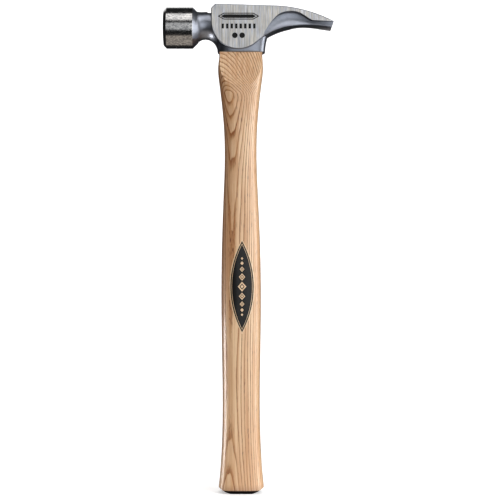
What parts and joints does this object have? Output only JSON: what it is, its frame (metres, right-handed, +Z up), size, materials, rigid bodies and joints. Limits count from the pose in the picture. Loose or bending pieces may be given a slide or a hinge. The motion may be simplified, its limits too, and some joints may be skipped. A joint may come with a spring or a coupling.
{
  "type": "claw hammer",
  "caption": "Framing hammer: cast head with a round poll, flat cheeks and a nearly straight rip claw, wedged on a straight wooden handle.",
  "frame": {"origin": "centre of the flat at the butt end of the handle", "axes": "+Z up the handle from the butt to the head, -X towards the striking face, +X towards the claw, Y across the head's thickness with the marked cheek and the label on -Y"},
  "size_m": [0.1597, 0.0388, 0.4572],
  "materials": {
    "head_titanium": "satin",
    "handle_hickory": "gloss",
    "wedge_hardwood": "satin",
    "wedge_steel": "satin",
    "magnet_nickel": "polished",
    "black_enamel": "gloss",
    "label_print": "gloss"
  },
  "bodies": {
    "root": {"head": "head_titanium", "handle": "handle_hickory", "wood_wedge": "wedge_hardwood", "steel_wedge_front": "wedge_steel", "steel_wedge_rear": "wedge_steel", "nail_magnet": "magnet_nickel", "cheek_mark_enamel": "black_enamel", "handle_label": "label_print"}
  },
  "joints": []
}
